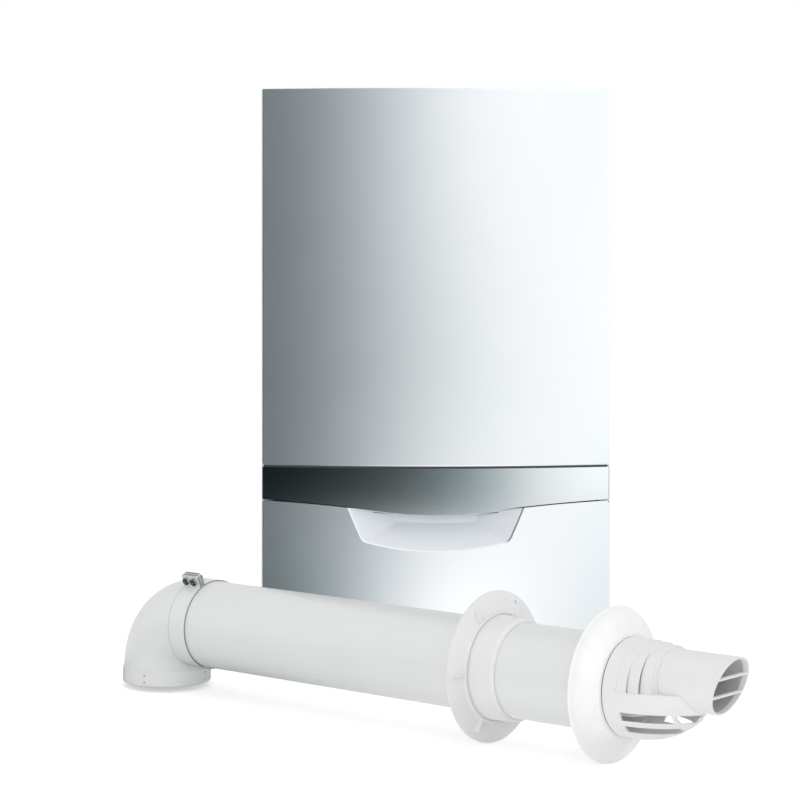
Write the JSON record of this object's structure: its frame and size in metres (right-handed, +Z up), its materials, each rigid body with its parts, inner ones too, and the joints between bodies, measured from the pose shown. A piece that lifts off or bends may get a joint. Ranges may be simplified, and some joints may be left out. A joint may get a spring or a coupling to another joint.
{
  "type": "condensing gas boiler",
  "caption": "Wall-hung condensing gas boiler with a bowed white front, dark trim band, folding control flap and a concentric horizontal flue kit.",
  "frame": {"origin": "the wall plane, on the casing's middle line, at the level of the casing's lower edge", "axes": "+X to the right seen from the front, +Y towards the wall, +Z up"},
  "size_m": [0.6757, 1.0053, 0.72],
  "materials": {
    "white_enamel": "satin",
    "dark_trim": "gloss",
    "white_plastic": "satin",
    "galvanised_sheet": "satin",
    "zinc_screws": "satin",
    "clamp_steel": "satin",
    "flue_white": "satin",
    "soft_white": "satin",
    "grey_polypropylene": "matte",
    "black_moulding": "matte",
    "stainless": "brushed",
    "aluminium_casting": "cast",
    "copper_tube": "satin",
    "brass_fittings": "satin",
    "pump_iron": "cast",
    "motor_can": "satin",
    "pump_polymer": "matte",
    "vessel_enamel": "satin",
    "ceramic": "gloss",
    "board_green": "matte",
    "fascia_grey": "satin",
    "display_window": "gloss",
    "control_white": "satin",
    "gauge_case": "satin",
    "needle_red": "satin"
  },
  "bodies": {
    "boiler": {"left_side_panel": "white_enamel", "right_side_panel": "white_enamel", "top_panel": "white_enamel", "front_panel": "white_enamel", "trim_band": "dark_trim", "lower_rim": "white_plastic", "rear_frame": "galvanised_sheet", "wall_bracket": "galvanised_sheet", "bottom_plate": "galvanised_sheet", "casing_screws": "zinc_screws", "clamp_screws": "zinc_screws", "elbow_clamp": "clamp_steel", "flue_elbow": "flue_white", "flue_pipe_outer": "flue_white", "flue_pipe_inner": "flue_white", "terminal_head": "flue_white", "terminal_outlet": "flue_white", "outer_rosette": "soft_white", "flue_socket": "grey_polypropylene", "flue_duct": "grey_polypropylene", "condensate_trap": "grey_polypropylene", "fan_housing": "black_moulding", "air_intake_tube": "black_moulding", "diverter_motor": "black_moulding", "electronics_box": "black_moulding", "heat_exchanger_shell": "stainless", "burner": "stainless", "plate_heat_exchanger": "stainless", "heat_exchanger_coil": "aluminium_casting", "burner_door": "aluminium_casting", "fan_motor": "aluminium_casting", "gas_valve": "aluminium_casting", "gas_pipe": "copper_tube", "heating_pipes": "copper_tube", "flow_block": "brass_fittings", "return_block": "brass_fittings", "connection_stubs": "brass_fittings", "safety_valve": "brass_fittings", "pump_body": "pump_iron", "pump_motor": "motor_can", "expansion_vessel": "vessel_enamel", "ignition_electrode": "ceramic", "circuit_board": "board_green", "control_panel": "fascia_grey", "display_lens": "display_window", "pressure_gauge": "gauge_case"},
    "flap": {"front_flap": "white_plastic"},
    "hot_water_dial": {"hot_water_knob": "control_white"},
    "heating_dial": {"heating_knob": "control_white"},
    "left_button": {"left_key": "control_white"},
    "minus_button": {"minus_key": "control_white"},
    "plus_button": {"plus_key": "control_white"},
    "right_button": {"right_key": "control_white"},
    "power_button": {"power_key": "control_white"},
    "reset_button": {"reset_key": "control_white"},
    "needle": {"gauge_needle": "needle_red"},
    "fan_wheel": {"fan_impeller": "black_moulding"},
    "pump_wheel": {"pump_rotor": "pump_polymer"},
    "valve_spindle": {"diverter_spindle": "brass_fittings"},
    "wall_rosette": {"inner_rosette": "flue_white"}
  },
  "joints": [
    {"name": "flap_hinge", "type": "hinge", "parent": "boiler", "child": "flap", "pos_m": [0, -0.3255, 0.036], "axis": [1, 0, 0], "range_deg": [0, 90]},
    {"name": "hot_water_turn", "type": "hinge", "parent": "boiler", "child": "hot_water_dial", "pos_m": [-0.15, -0.285, 0.112], "axis": [0, 1, 0], "range_deg": [-135, 135]},
    {"name": "heating_turn", "type": "hinge", "parent": "boiler", "child": "heating_dial", "pos_m": [0.15, -0.285, 0.112], "axis": [0, 1, 0], "range_deg": [-135, 135]},
    {"name": "left_press", "type": "slide", "parent": "boiler", "child": "left_button", "axis": [0, 1, 0], "range_m": [0, 0.0015], "stiffness_N_per_m": 300},
    {"name": "minus_press", "type": "slide", "parent": "boiler", "child": "minus_button", "axis": [0, 1, 0], "range_m": [0, 0.0015], "stiffness_N_per_m": 300},
    {"name": "plus_press", "type": "slide", "parent": "boiler", "child": "plus_button", "axis": [0, 1, 0], "range_m": [0, 0.0015], "stiffness_N_per_m": 300},
    {"name": "right_press", "type": "slide", "parent": "boiler", "child": "right_button", "axis": [0, 1, 0], "range_m": [0, 0.0015], "stiffness_N_per_m": 300},
    {"name": "power_press", "type": "slide", "parent": "boiler", "child": "power_button", "axis": [0, 1, 0], "range_m": [0, 0.0015], "stiffness_N_per_m": 300},
    {"name": "reset_press", "type": "slide", "parent": "boiler", "child": "reset_button", "axis": [0, 1, 0], "range_m": [0, 0.0015], "stiffness_N_per_m": 300},
    {"name": "needle_turn", "type": "hinge", "parent": "boiler", "child": "needle", "pos_m": [-0.088, -0.285, 0.112], "axis": [0, 1, 0], "range_deg": [0, 270]},
    {"name": "fan_spin", "type": "hinge", "parent": "boiler", "child": "fan_wheel", "pos_m": [0.125, -0.278, 0.461], "axis": [0, 1, 0], "continuous": true},
    {"name": "pump_spin", "type": "hinge", "parent": "boiler", "child": "pump_wheel", "pos_m": [0.118, -0.13, 0.168], "axis": [0, 1, 0], "continuous": true},
    {"name": "spindle_slide", "type": "slide", "parent": "boiler", "child": "valve_spindle", "axis": [0, 0, 1], "range_m": [0, 0.006]},
    {"name": "rosette_slide", "type": "slide", "parent": "boiler", "child": "wall_rosette", "axis": [0.766, -0.6428, 0], "range_m": [-0.4, 0.11]}
  ]
}
